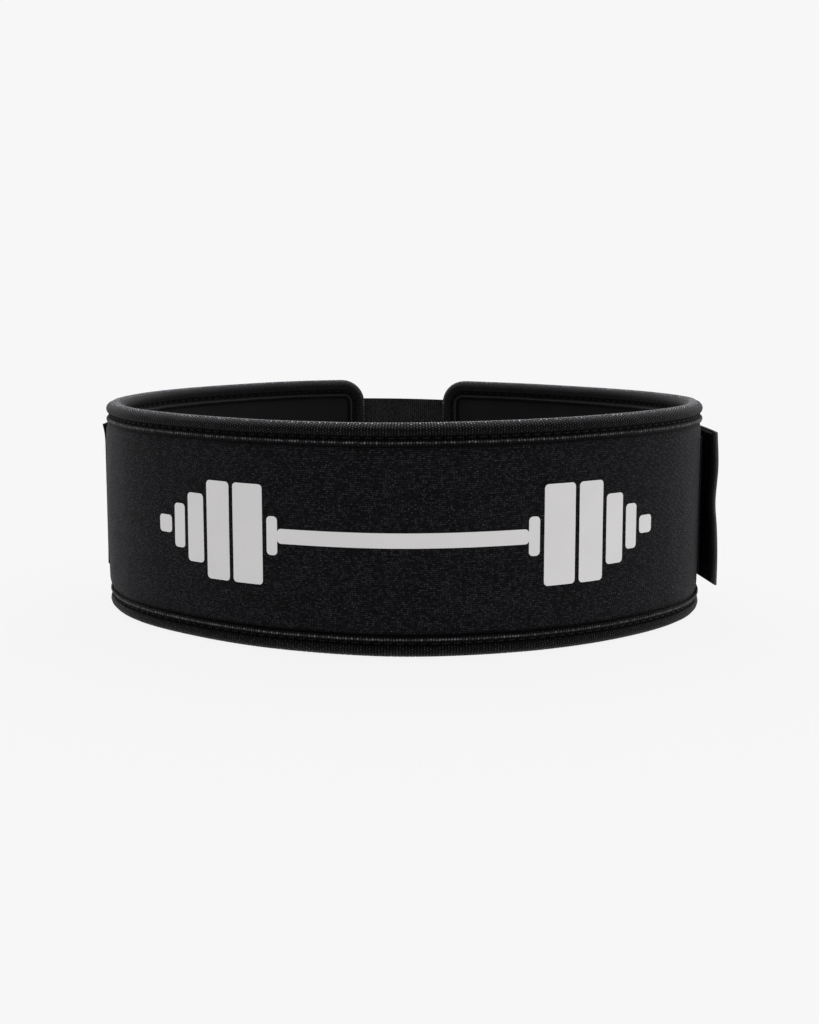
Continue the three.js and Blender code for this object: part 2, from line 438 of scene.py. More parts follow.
def ribbedTape():
    # ribs across the tape, broken into staggered beads, with painted highlights on the beads, the fold and
    # the ridge by the dotted edge, and painted shade in and past the seam's groove
    shade = clothShade("ribbed_tape")
    rib = shade.along / tape["rib"]
    ribNumber = shade.math("FLOOR", rib)
    ridge = shade.wave(rib)
    row = shade.up / tape["bead"] + ribNumber % 2 * 0.5
    bead = shade.wave(row)
    chance = shade.chance(shade.place(ribNumber, shade.math("FLOOR", row)))
    height = ridge * (bead * 0.72 + 0.28)
    worn = shade.noise(shade.cloth, 0.1, 3)
    fuzz = shade.noise(shade.cloth, 2.6, 4, 0.7)
    across = shade.math("ABSOLUTE", shade.up)
    # a mask for the painted shade in the seam's groove
    seam = shade.ramp(shade.near(across, acrossAt(binding["seam"]), tape["seam"]), 0.1, 0.6)
    outside = shade.up > 0
    lip = shade.near(across, acrossAt(binding["brightLip"]), tape["lip"])
    # a painted highlight along the fold, where the tape rolls over the belt's edge
    fold = 1 - shade.ramp(across, *tape["fold"])
    # past the groove, towards the cut edge, the tape is painted in shade
    pastGrooveShade = shade.ramp(across, *[acrossAt(binding["seam"] + past * mm) for past in tape["pastGrooveShade"]])
    # the beads' tops are painted bright as highlights, and the waist's side of the tape is painted lighter
    # overall, a painted difference in light between its two sides
    dots = height * height * height * (2.4 + chance * chance * 13.0)
    brightness = 0.08 + dots * (outside * 0.65 + 0.35 + fold * 12.0) + (1 - outside) * 1.0 + fold * 1.6
    brightness = brightness + (worn - 0.5) * 0.5 + (fuzz - 0.5) * 2.2
    brightness = shade.math("MAXIMUM", brightness, 0.05)
    # the seam's groove is painted in shade, deeper on the outer side and darker still at each needle hole
    needle = shade.ramp(shade.wave(shade.along / (binding["stitchPitch"] / mm) + 0.5), 0.75, 0.95)
    brightness = brightness * (1 - seam * (outside * 0.55 + 0.25)) * (1 - pastGrooveShade * 0.7)
    brightness = brightness * (1 - seam * needle * (outside * 0.6 + 0.2))
    # a painted highlight along the ridge beside the cut edge, dotted with painted glints on its ribs, and
    # brighter on the waist's side
    glints = outside * ridge * (3.0 + chance * chance * 42.0)
    brightness = brightness + lip * (2.4 + glints + (1 - outside) * 3.0)
    normal = shade.bump(height + fuzz * 0.3, 1.0, tape["relief"])
    roughness = shade.clamped(tape["roughness"] + 0.34 - height * 0.5 + seam * 0.5)
    return shade.finished(tape["colour"], brightness, roughness, normal, Specular_IOR_Level=0.1,
                          Specular_Tint=coolTint, Sheen_Weight=tape["sheen"], Sheen_Roughness=0.4)


webbing = {
    "colour": (0.0225, 0.0225, 0.0240),
    "rib": 1.1,  # mm
    "bead": 1.6,
    "speck": 0.9,
    "lighterEnd": (1.0, 2.2),  # mm from the free end, where its lighter band ends
    "relief": 0.22 * mm,
    "roughness": 0.6,
    "sheen": 0.05,
}


def ribbedWebbing():
    # upright ribs with staggered beads, specks and a lighter band at the free end
    shade = clothShade("ribbed_webbing")
    rib = shade.along / webbing["rib"]
    ridge = shade.wave(rib)
    side = shade.math("FLOOR", rib) % 2
    bead = shade.wave(shade.up / webbing["bead"] + side * 0.5)
    height = ridge * (bead * 0.4 + 0.6)
    worn = shade.noise(shade.cloth, 0.08, 3)
    fuzz = shade.noise(shade.cloth, 2.4, 4, 0.7)
    lint = shade.ramp(shade.noise(shade.place(shade.along * 0.5, shade.up), 0.9, 3, 0.6), 0.72, 0.82)
    speck = shade.chance(shade.place(shade.math("FLOOR", rib),
                                     shade.math("FLOOR", shade.up / webbing["speck"])))
    brightness = 0.3 + height * (0.4 + speck * 1.5) + (worn - 0.5) * 0.8 + lint * 1.6
    # the webbing is made lighter along its free end
    lighterEnd = 1 - shade.ramp(shade.along, *[flapEnd / mm + way for way in webbing["lighterEnd"]])
    brightness = brightness + lighterEnd * 2.6
    normal = shade.bump(height + fuzz * 0.3, 0.8, webbing["relief"])
    return shade.finished(webbing["colour"], brightness, webbing["roughness"], normal,
                          Specular_IOR_Level=0.1, Sheen_Weight=webbing["sheen"], Sheen_Roughness=0.45)


hooks = {"colour": (0.008, 0.008, 0.008), "along": 1.1, "up": 0.9, "relief": 0.35 * mm}  # rows in mm
loops = {"colour": (0.008, 0.008, 0.0085), "sheen": 0.12, "relief": 0.4 * mm}
sewn = {"twist": 0.55, "relief": 0.1 * mm}  # a twist in mm
film = {"colour": (0.88, 0.865, 0.865), "uneven": 0.06, "relief": 0.08 * mm}


def hookPile():
    # rows of tiny hooks
    shade = clothShade("hook_pile")
    rows = shade.wave(shade.along / hooks["along"]) * shade.wave(shade.up / hooks["up"])
    fuzz = shade.noise(shade.cloth, 1.7, 3)
    normal = shade.bump(rows + fuzz * 0.4, 1.0, hooks["relief"])
    return shade.finished(hooks["colour"], 0.5 + rows, 0.7, normal, Specular_IOR_Level=0.05)


def loopPile():
    # brushed loops, lying every way
    shade = clothShade("loop_pile")
    tufts = shade.noise(shade.cloth, 0.9, 5, 0.7)
    fuzz = shade.noise(shade.cloth, 3.5, 4, 0.75)
    normal = shade.bump(tufts + fuzz * 0.6, 1.0, loops["relief"])
    return shade.finished(loops["colour"], 0.3 + tufts * 1.4, 0.9, normal,
                          Specular_IOR_Level=0.06, Sheen_Weight=loops["sheen"], Sheen_Roughness=0.5)


def thread(name, colour):
    # a twisted yarn
    shade = clothShade(name)
    twist = shade.wave((shade.along + shade.up) / sewn["twist"])
    normal = shade.bump(twist, 0.6, sewn["relief"])
    return shade.finished(colour, 0.6 + twist * 0.8, 0.55, normal, Specular_IOR_Level=0.12)


def printedFilm():
    # a thin, slightly uneven transfer
    shade = clothShade("printed_film")
    grain = shade.noise(shade.cloth, 1.6, 3)
    cloudy = shade.noise(shade.cloth, 0.05, 2)
    normal = shade.bump(grain, 0.35, film["relief"])
    return shade.finished(film["colour"], 0.97 + (grain + cloudy - 1) * film["uneven"], 0.7, normal,
                          Specular_IOR_Level=0.2)


# The bound edge's section: how far in from the edge, and how far out from the wall's middle
binding = {
    "section": [(0.3, 1.7), (1.0, 3.3), (2.0, 4.2), (3.1, 4.5), (4.2, 4.3), (5.1, 3.6), (5.7, 2.95),
                (6.4, 2.9), (6.9, 3.6), (7.4, 4.25), (8.0, 4.5), (8.6, 4.45), (9.2, 4.2)],
    "flat": 1.4 * mm,  # half of the flat of the fold
    "tape": 0.9 * mm,
    "columnStep": 1.6 * mm,
    "cornerSteps": 9,
    "seam": 6.1 * mm,
    "lip": 9.2 * mm,  # the tape's own edge
    "brightLip": 7.95 * mm,  # the ridge beside it
    "stitchPitch": 4.75 * mm,
    "stitchPull": 0.26 * mm,  # how far each needle hole draws the tape in
    "pullReach": 1.2 * mm,
    "lipWave": 0.22 * mm,  # how unevenly the tape's edge lies, in and out
    "lipWander": 0.5 * mm,  # and up and down
    "looseFrom": 7 * mm,  # from the fold, where this unevenness sets in
    "looseRun": 3 * mm,
    "drift": 9 * mm,  # the length of its slow turns
    "fray": 2.4 * mm,  # and of its quick ones
}
binding["section"] = [(a * mm, b * mm) for a, b in binding["section"]]


def coreOf(flat):
    # each flat point's nearest place on the block inside the outline's round corners
    r = belt["cornerRadius"]
    return np.clip(flat[:, 0], padLeft + r, padRight - r), np.clip(flat[:, 2], r, height - r)


def insetOf(flat):
    # how far each flat point lies in from the pad's rounded outline
    coreX, coreZ = coreOf(flat)
    return belt["cornerRadius"] - np.hypot(flat[:, 0] - coreX, flat[:, 2] - coreZ)


def roundOutline(inset):
    # the pad's outline, set in: places, and the way it runs at each
    r = belt["cornerRadius"]
    corners = [(padRight - r, height - r, 0), (padLeft + r, height - r, 90),
               (padLeft + r, r, 180), (padRight - r, r, 270)]
    points = []
    for x, z, start in corners:
        for angle in np.radians(np.linspace(start, start + 90, 17)):
            points.append((x + (r - inset) * math.cos(angle), z + (r - inset) * math.sin(angle)))
    points = np.array(points + points[:1])
    return points, np.concatenate([[0], np.cumsum(np.linalg.norm(np.diff(points, axis=0), axis=1))])


def evenly(points, run, pitch):
    # places at an even pitch on a line, with the angle it runs at
    count = max(1, round(run[-1] / pitch))
    at = (np.arange(count) + 0.5) * run[-1] / count
    x, z = (np.interp(at, run, points[:, k]) for k in range(2))
    step = 0.2 * mm
    ahead = [np.interp(np.minimum(at + step, run[-1]), run, points[:, k]) for k in range(2)]
    behind = [np.interp(np.maximum(at - step, 0), run, points[:, k]) for k in range(2)]
    return x, z, np.arctan2(ahead[1] - behind[1], ahead[0] - behind[0])


def outlinePlace(flat):
    # how far round the outline each flat point lies, measured on the edge
    r = belt["cornerRadius"]
    x, z = flat[:, 0], flat[:, 2]
    coreX, coreZ = coreOf(flat)
    angle = np.mod(np.arctan2(z - coreZ, x - coreX), 2 * pi)
    long, tall = padRight - padLeft - 2 * r, height - 2 * r
    turn = r * pi / 2
    quarter = np.minimum((angle / (pi / 2)).astype(int), 3)
    start = np.array([0, turn + long, 2 * turn + long + tall, 3 * turn + 2 * long + tall])
    place = start[quarter] + (angle - quarter * pi / 2) * r
    onTop = (coreX == x) & (z > height / 2)
    onFoot = (coreX == x) & (z < height / 2)
    onLeft = (coreZ == z) & (x < 0)
    onRight = (coreZ == z) & (x > 0)
    place = np.where(onTop, turn + (padRight - r - x), place)
    place = np.where(onLeft, 2 * turn + long + (height - r - z), place)
    place = np.where(onFoot, 3 * turn + long + tall + (x - padLeft - r), place)
    place = np.where(onRight, 4 * turn + 2 * long + tall + (z - r), place)
    return place, 4 * turn + 2 * long + 2 * tall


def makeBinding():
    # one rounded face, stood off and inset row by row, then mirrored over the fold
    bpy.ops.object.select_all(action="DESELECT")
    bpy.ops.mesh.primitive_plane_add(size=1, rotation=(pi / 2, 0, 0))
    piece = added("edge_tape")
    bpy.ops.object.transform_apply(location=False, rotation=True, scale=False)
    bpy.ops.object.mode_set(mode="EDIT")
    bpy.ops.mesh.select_all(action="SELECT")
    bpy.ops.transform.resize(value=(padRight - padLeft, 1, height))
    bpy.ops.transform.translate(value=((padLeft + padRight) / 2, 0, height / 2))
    bpy.ops.mesh.bevel(offset=belt["cornerRadius"], segments=binding["cornerSteps"], affect="VERTICES",
                       offset_type="OFFSET")
    bpy.ops.mesh.delete(type="ONLY_FACE")  # its outline is cut finely, and filled again
    long = padRight - padLeft - 2 * belt["cornerRadius"]
    cuts = round(math.sqrt(long / binding["columnStep"]))
    for _ in range(2):
        pick(piece, "edges", lambda edge: abs(edge.verts[0].co.z - edge.verts[1].co.z) < 1e-6
             and edge.calc_length() > 2 * binding["columnStep"])
        bpy.ops.mesh.subdivide(number_cuts=cuts - 1)
    tall = height - 2 * belt["cornerRadius"]
    pick(piece, "edges", lambda edge: abs(edge.verts[0].co.x - edge.verts[1].co.x) < 1e-6
         and edge.calc_length() > tall * 0.9)
    bpy.ops.mesh.subdivide(number_cuts=round(tall / binding["columnStep"]) - 1)
    bpy.ops.mesh.select_all(action="SELECT")
    bpy.ops.mesh.edge_face_add()
    if bmesh.from_edit_mesh(piece.data).faces[:][0].normal.y > 0:
        bpy.ops.mesh.flip_normals()
    bpy.ops.mesh.extrude_region_move(TRANSFORM_OT_translate={"value": (0, -binding["flat"], 0)})
    inset, out = 0, binding["flat"]
    for nextInset, nextOut in binding["section"]:
        bpy.ops.mesh.inset(thickness=nextInset - inset, depth=nextOut - out, use_even_offset=True)
        inset, out = nextInset, nextOut
    bpy.ops.mesh.delete(type="FACE")
    pick(piece, "faces", lambda face: len(face.verts) > 4)
    bpy.ops.mesh.delete(type="FACE")
    bpy.ops.object.mode_set(mode="OBJECT")
    applied(piece, "MIRROR", use_axis=(False, True, False), use_mirror_merge=True, merge_threshold=0.01 * mm)
    alone(piece)
    bpy.ops.object.mode_set(mode="EDIT")
    bpy.ops.mesh.select_all(action="SELECT")
    bpy.ops.mesh.normals_make_consistent(inside=False)
    bpy.ops.object.mode_set(mode="OBJECT")
    flat = pointsOf(piece)
    place, around = outlinePlace(flat)
    inset = insetOf(flat)
    side = np.sign(-flat[:, 1])
    # the thread draws the tape in at each needle hole, and the cut edge runs a little unevenly
    holes = np.cos(2 * pi * place / (around / round(around / binding["stitchPitch"])))
    pull = binding["stitchPull"] * holes * np.exp(-((inset - binding["seam"]) / binding["pullReach"]) ** 2)
    drift = np.array([noise.noise((p / binding["drift"], s * 7.3, 0.4)) for p, s in zip(place, side)])
    fray = np.array([noise.noise((p / binding["fray"], s * 3.1, 5.2)) for p, s in zip(place, side)])
    nearLip = np.clip((inset - binding["looseFrom"]) / binding["looseRun"], 0, 1)
    flat[:, 1] -= side * (nearLip * binding["lipWave"] * (0.5 * drift + 0.5 * fray) - pull)
    inward = np.column_stack(coreOf(flat)) - flat[:, [0, 2]]
    inward /= np.maximum(np.linalg.norm(inward, axis=1), 0.1 * mm)[:, None]
    flat[:, [0, 2]] += inward * (nearLip * binding["lipWander"] * (0.7 * drift + 0.6 * fray))[:, None]
    setPoints(piece, flat)
    across = np.interp(inset, [0] + [a for a, b in binding["section"]], sectionRun())
    setMap(piece, np.column_stack([place, across * side]))
    mendMap(piece, around)
    applied(piece, "SOLIDIFY", thickness=binding["tape"], offset=-1)
    return wrapped(piece, 60)


def sectionRun():
    # the tape's own length from the fold to each row of its section
    rows = np.array([(0, binding["flat"])] + binding["section"])
    run = np.concatenate([[0], np.cumsum(np.linalg.norm(np.diff(rows, axis=0), axis=1))])
    return run + binding["flat"]


def mendMap(piece, around):
    # a face across the outline's start takes both its ends from the same turn
    layer = piece.data.uv_layers["cloth"].data
    for face in piece.data.polygons:
        places = [layer[i].uv.x * mapUnit for i in face.loop_indices]
        if max(places) - min(places) > around / 2:
            for i in face.loop_indices:
                if layer[i].uv.x * mapUnit < around / 2:
                    layer[i].uv.x += around / mapUnit


# The padded band
pad = {
    "face": 4.2 * mm,
    "step": 2 * mm,
    "edge": 1.6 * mm,  # from the belt's edge to the core's, under the tape
    "under": 0.15 * mm,  # between the tape and what it covers
    "lipRun": 8 * mm,  # over which the face swells to its full thickness beside the tape
    "panelSet": 1 * mm,  # the face is set back under the loop panel
    "panelBearing": 80.5,
    "panelInset": 8 * mm,
    "panelRamp": 3 * mm,
    "openRun": 5 * mm,  # past the tape, over which the face's own shape sets in
    "belly": 2.0 * mm,  # how far the face stands out on the left side
    "bellyBearing": 277,
    "bellyRun": 34 * mm,
    "bellyBack": 14 * mm,  # it ends soon behind, where the strap is sewn on
    "bellyUpright": 0.4,  # the lower, the more upright the belly stands
    "faceWave": 0.16 * mm,
    "gentle": (34 * mm, 46 * mm),  # its waves along and up the belt
    "besideWave": 0.12 * mm,  # short waves beside the tape, on the face
    "liningWave": 0.168 * mm,  # and on the lining
    "short": (7 * mm, 22 * mm),
    "besideFrom": 26 * mm,  # from the belt's edge, where they begin
    "besideRun": 12 * mm,
    # folds of the lining near the right end, in mm: from the end, run, below the tape there and
    # at the far end, half width, height
    "folds": [(12, 62, 3.2, 4.6, 1.2, 0.9), (15, 44, 9, 13, 3.4, 1.3)],
    "foldRise": 6,  # mm over which a fold rises at the near end
    "foldFade": 16,  # and fades at the far one
    "foldFoot": 1.5,  # mm below the tape, where it is held flat
}
panelFront = alongAt(pad["panelBearing"])
bellyAt = alongAt(pad["bellyBearing"]) - girth
panelBack = padRight - 10 * mm - pad["panelInset"]


# The lining is cut a little long and held along the bound edges, so it buckles: a short simulation
pucker = {
    "step": 4 * mm,
    "slack": 0.008,
    "frames": 16,
    "bending": 2.5,
    "enlarged": 10,  # so small a cloth is simulated enlarged
    "start": 0.12 * mm,
    "cap": 0.55 * mm,
}


def simulatedLining():
    # how far the lining stands off its flat place, in rows of a grid
    edge = binding["lip"]
    piece = flatSheet("lining_cloth", padLeft + edge, padRight - edge, edge, height - edge, pucker["step"])
    flat = pointsOf(piece)
    across, up = np.unique(flat[:, 0].round(7)), np.unique(flat[:, 2].round(7))
    fromEdge = np.minimum(np.minimum(flat[:, 0] - across[0], across[-1] - flat[:, 0]),
                          np.minimum(flat[:, 2] - up[0], up[-1] - flat[:, 2]))
    uneven = np.array([noise.noise((x / (9 * mm), z / (16 * mm), 2.7)) for x, _, z in flat])
    flat[:, 1] = uneven * pucker["start"] * np.clip(fromEdge / (6 * mm), 0, 1)
    setPoints(piece, flat * pucker["enlarged"])
    held = piece.vertex_groups.new(name="held")
    held.add(np.flatnonzero(fromEdge < pucker["step"] / 2).tolist(), 1, "REPLACE")
    alone(piece)
    cloth = piece.modifiers.new("cloth", "CLOTH")
    cloth.settings.vertex_group_mass = "held"
    cloth.settings.quality = 4
    cloth.settings.bending_stiffness = pucker["bending"]
    cloth.settings.shrink_min = -pucker["slack"]
    cloth.settings.effector_weights.gravity = 0
    cloth.collision_settings.use_collision = False
    cloth.point_cache.frame_start, cloth.point_cache.frame_end = 1, pucker["frames"]
    for frame in range(1, pucker["frames"] + 1):
        bpy.context.scene.frame_set(frame)
    bpy.ops.object.modifier_apply(modifier=cloth.name)
    bpy.context.scene.frame_set(1)
    off = pointsOf(piece)[:, 1] / pucker["enlarged"]
    rows = np.lexsort((flat[:, 0].round(7), flat[:, 2].round(7)))
    bpy.data.objects.remove(piece)
    off = pucker["cap"] * np.tanh(off / pucker["cap"])
    print("lining puckers", (off.std() / mm).round(2), "mm, at most", (abs(off).max() / mm).round(2))
    return across, up, off[rows].reshape(len(up), len(across))


def puckered(x, z):
    # the simulated lining at any places on it
    across, up, grid = lining
    column, row = np.interp(x, across, np.arange(len(across))), np.interp(z, up, np.arange(len(up)))
    i, j = np.minimum(column.astype(int), len(across) - 2), np.minimum(row.astype(int), len(up) - 2)
    u, v = column - i, row - j
    low = grid[j, i] * (1 - u) + grid[j, i + 1] * u
    high = grid[j + 1, i] * (1 - u) + grid[j + 1, i + 1] * u
    return low * (1 - v) + high * v


def coreOut(inset):
    # half the wall's thickness, from under the tape to the open face
    rows = [(pad["edge"] * 0.5, binding["flat"])] + binding["section"]
    under = np.interp(inset, [a for a, b in rows], [b for a, b in rows]) - binding["tape"] - pad["under"]
    swell = np.clip((inset - binding["lip"]) / pad["lipRun"], 0, 1)
    lip = binding["section"][-1][1] - binding["tape"] - pad["under"]
    face = lip + (pad["face"] - lip) * np.sin(swell * pi / 2)
    return np.where(inset < binding["lip"], under, face)


def faceOut(x, z, inset, side):
    # where the face lies, for the outer side (1) or the waist's side (-1)
    out = coreOut(inset)
    isOpen = np.clip((inset - binding["lip"]) / pad["openRun"], 0, 1)
    beside = isOpen * np.clip((pad["besideFrom"] - inset) / pad["besideRun"], 0, 1)
    long, tall = pad["short"]
    short = np.array([noise.noise((a / long, b / tall, side * 9.1)) for a, b in zip(x, z)])
    if side > 0:
        long, tall = pad["gentle"]
        gentle = np.array([noise.fractal((a / long, b / tall, side * 3.7), 1.0, 2.0, 2)
                           for a, b in zip(x, z)])
        out = out + isOpen * pad["faceWave"] * gentle + beside * pad["besideWave"] * short
        upright = np.sin(np.clip(z / height, 0, 1) * pi) ** pad["bellyUpright"]
        run = np.where(x < bellyAt, pad["bellyBack"], pad["bellyRun"])
        out = out + isOpen * pad["belly"] * np.exp(-((x - bellyAt) / run) ** 2) * upright
        fromFront = np.clip((x - panelFront) / pad["panelRamp"] + 0.5, 0, 1)
        fromBack = np.clip((panelBack - x) / pad["panelRamp"] + 0.5, 0, 1)
        out = out - fromFront * fromBack * pad["panelSet"] * isOpen
    else:
        out = out + isOpen * puckered(x, z) + beside * pad["liningWave"] * short
        way = (padRight - x) / mm
        depth = (height - binding["lip"] - z) / mm
        foot = np.clip(depth / pad["foldFoot"], 0, 1)
        for fromEnd, run, drop, farDrop, wide, high in pad["folds"]:
            rise = np.clip((way - fromEnd) / pad["foldRise"], 0, 1)
            fade = np.clip((fromEnd + run - way) / pad["foldFade"], 0, 1)
            fall = drop + (farDrop - drop) * (way - fromEnd) / run
            out = out + high * mm * rise * fade * np.exp(-((depth - fall) / wide) ** 2) * foot
    return out


def makePad():
    edge = pad["edge"]
    piece = flatSheet("pad_band", padLeft + edge, padRight - edge, edge, height - edge, pad["step"])
    applied(piece, "SOLIDIFY", thickness=2 * mm, offset=0)
    flat = pointsOf(piece)
    # the square corners are drawn in to round ones
    coreX, coreZ = coreOf(flat)
    dx, dz = flat[:, 0] - coreX, flat[:, 2] - coreZ
    scale = np.maximum(np.abs(dx), np.abs(dz)) / np.maximum(np.hypot(dx, dz), 1e-9)
    flat[:, 0], flat[:, 2] = coreX + dx * scale, coreZ + dz * scale
    inset = insetOf(flat)
    for side in (1, -1):
        on = np.sign(-flat[:, 1]) == side
        flat[on, 1] = -side * faceOut(flat[on, 0], flat[on, 2], inset[on], side)
    setPoints(piece, flat)
    setMap(piece, flat[:, [0, 2]])
    setMap(piece, np.column_stack([inset, flat[:, 1]]), "edge")
    return wrapped(piece, 60)


def lineInside(piece, lining):
    # gives the faces on the waist's side the lining
    piece.data.materials.append(lining)
    across = piece.data.uv_layers["edge"].data
    for face in piece.data.polygons:
        if sum(across[i].uv.y for i in face.loop_indices) > 0:
            face.material_index = 1


# The strap, its hook tape and the loop panel
strap = {
    "width": 74 * mm,
    "thickness": 1.2 * mm,
    "step": 2 * mm,
    "rise": -1.3 * mm,  # the strap's middle over the belt's, at its free end
    "rootRise": 4.5 * mm,  # and how much higher it is sewn on
    "flapBearing": 79,
    "rootBearing": 271,
    "narrowing": 2 * mm,  # at each edge, towards the root
    "narrowRun": 80 * mm,
    "hookThickness": 1 * mm,
    "hookLength": 130 * mm,
    "hookInset": 3 * mm,  # from the free end
    "hookEdge": 1.2 * mm,  # from the strap's edges
    "panelThickness": 1 * mm,
    "clearance": 0.3 * mm,
    "panelWidth": 65 * mm,
    "edgeOut": 4.8 * mm,  # how far out it lies over the bound ends
    "rootOut": 4.8 * mm,  # and at its root
    "bridge": 20 * mm,  # past the left end before it leads to its root
    "cornerLift": 1.2 * mm,  # of the root's corners, most at the upper one
    "cornerRun": 14 * mm,
    "cornerReach": 10 * mm,
    "flapRun": 30 * mm,
    "flapLift": 6.2 * mm,
    # share of the width, share of the lift
    "wave": [(0, 1), (0.2, 1), (0.38, 0.9), (0.55, 0.74), (0.78, 0.89), (1, 0.76)],
}
flapEnd = alongAt(strap["flapBearing"])
strapRoot = alongAt(strap["rootBearing"])
hookFront = flapEnd + strap["hookInset"]
hookBack = hookFront + strap["hookLength"]
panelOut = pad["face"] - pad["panelSet"] + strap["clearance"]
overPanel = panelOut + strap["panelThickness"] + strap["clearance"]
overHook = overPanel + strap["hookThickness"] + strap["clearance"]
flapWave = throughRows(strap["wave"], 8)


def strapFoot(x):
    # the height of the strap's lower edge, which climbs from its free end to its root
    way = np.clip((x - flapEnd) / (strapRoot - flapEnd), 0, 1)
    return (height - strap["width"]) / 2 + strap["rise"] + strap["rootRise"] * np.sin(way * pi / 2)


def strapOut(x, share):
    # how far out the strap's inner face lies
    opening = np.clip((flapEnd + strap["flapRun"] - x) / strap["flapRun"], 0, 1)
    lift = strap["flapLift"] * np.interp(share, flapWave[:, 0], flapWave[:, 1]) * opening**2
    nearRoot = np.clip((x - strapRoot) / strap["cornerRun"] + 1, 0, 1) ** 2
    fromEdge = np.minimum(share, 1 - share) * strap["width"]
    nearEdge = np.clip(1 - fromEdge / strap["cornerReach"], 0, 1) ** 2
    lift = lift + strap["cornerLift"] * nearRoot * nearEdge * (0.1 + 0.9 * share)
    places = [hookBack, panelBack, padRight, padLeft + girth + strap["bridge"], strapRoot]
    outs = [overHook, overPanel, strap["edgeOut"], strap["edgeOut"], strap["rootOut"]]
    return np.interp(x, places, outs) + lift


def makeStrip(name, start, end, low, high, thickness, innerOut, foot=strapFoot, soften=0.3 * mm):
    # a strip of webbing or tape between two shares of the strap's width
    piece = flatSheet(name, start, end, 0, (high - low) * strap["width"], strap["step"])
    applied(piece, "SOLIDIFY", thickness=thickness, offset=1)
    applied(piece, "BEVEL", width=soften, segments=2, limit_method="ANGLE", angle_limit=math.radians(60))
    flat = pointsOf(piece)
    share = low + flat[:, 2] / strap["width"]
    setMap(piece, flat[:, [0, 2]])
    flat[:, 1] = flat[:, 1] - innerOut(flat[:, 0], np.clip(share, 0, 1))
    narrow = strap["narrowing"] * np.clip((flat[:, 0] - strapRoot) / strap["narrowRun"] + 1, 0, 1)
    flat[:, 2] = foot(flat[:, 0]) + share * strap["width"] + narrow * (1 - 2 * share)
    setPoints(piece, flat)
    return wrapped(piece, 50)


def makeStrap():
    return makeStrip("strap_band", flapEnd, strapRoot, 0, 1, strap["thickness"], strapOut)


def makeHook():
    edge = strap["hookEdge"] / strap["width"]
    lower = strap["clearance"] + strap["hookThickness"]
    return makeStrip("hook_strip", hookFront, hookBack, edge, 1 - edge, strap["hookThickness"],
                     lambda x, share: strapOut(x, share) - lower)


def makePanel():
    high = strap["panelWidth"] / strap["width"]
    return makeStrip("loop_strip", panelFront, panelBack, 0, high, strap["panelThickness"],
                     lambda x, share: np.full(len(x), panelOut),
                     foot=lambda x: (height - strap["panelWidth"]) / 2)


# Stitching, from one stitch that is copied
stitch = {
    "length": 3.7 * mm,
    "thread": 0.34 * mm,
    "dip": 0.5 * mm,  # how far its ends go in
    "taper": 0.45,
    "proud": 0.22 * mm,  # over the groove's floor
    "sides": 6,
    "cuts": 4,
    "turn": 0.37 * mm,  # how far the twist moves on from one to the next
}


def oneStitch(length, thread):
    bpy.ops.object.select_all(action="DESELECT")
    bpy.ops.mesh.primitive_cylinder_add(vertices=stitch["sides"], radius=thread, depth=length,
                                        rotation=(0, pi / 2, 0))
    piece = added("one_stitch")
    bpy.ops.object.transform_apply(location=False, rotation=True, scale=False)
    bpy.ops.object.mode_set(mode="EDIT")
    pick(piece, "edges", lambda edge: abs(edge.verts[0].co.x - edge.verts[1].co.x) > length / 2)
    bpy.ops.mesh.subdivide(number_cuts=stitch["cuts"])
    bpy.ops.object.mode_set(mode="OBJECT")
    points = pointsOf(piece)
    away = np.abs(points[:, 0]) / (length / 2)
    points[:, 1:] *= (1 - stitch["taper"] * away**3)[:, None]
    points[:, 1] += stitch["dip"] * away**3
    setPoints(piece, points)
    return piece


def repeated(name, template, places):
    # copies of one small piece at (x, z, out, angle, side), joined into one mesh
    points = pointsOf(template)
    faces = [list(face.vertices) for face in template.data.polygons]
    allPoints, allFaces, allPlaces = [], [], []
    for number, (x, z, out, angle, side) in enumerate(places):
        turnedPoints = points * (1, side, side)
        c, s = math.cos(angle), math.sin(angle)
        moved = np.column_stack([x + turnedPoints[:, 0] * c - turnedPoints[:, 2] * s,
                                 turnedPoints[:, 1] - side * out,
                                 z + turnedPoints[:, 0] * s + turnedPoints[:, 2] * c])
        allPoints.append(moved)
        allPlaces.append(points[:, [0, 2]] + (number * stitch["turn"], 0))
        allFaces += [[i + number * len(points) for i in face] for face in faces]
    mesh = bpy.data.meshes.new(name)
    mesh.from_pydata(np.vstack(allPoints).tolist(), [], allFaces)
    piece = bpy.data.objects.new(name, mesh)
    bpy.context.scene.collection.objects.link(piece)
    setMap(piece, np.vstack(allPlaces))
    bpy.data.objects.remove(template)
    return piece


def makeBindingStitches():
    template = oneStitch(stitch["length"], stitch["thread"])
    x, z, angle = evenly(*roundOutline(binding["seam"]), binding["stitchPitch"])
    groove = np.interp(binding["seam"], *np.array(binding["section"]).T) + stitch["proud"]
    places = [(a, b, groove, c, side) for side in (1, -1) for a, b, c in zip(x, z, angle)]
    return wrapped(repeated("edge_stitches", template, places), 60)


sewing = {
    "pitch": 3.4 * mm,
    "length": 2.8 * mm,
    "thread": 0.32 * mm,
    "fromEdge": 4 * mm,
    "boxLength": 46 * mm,
    "boxInset": 4.5 * mm,
}


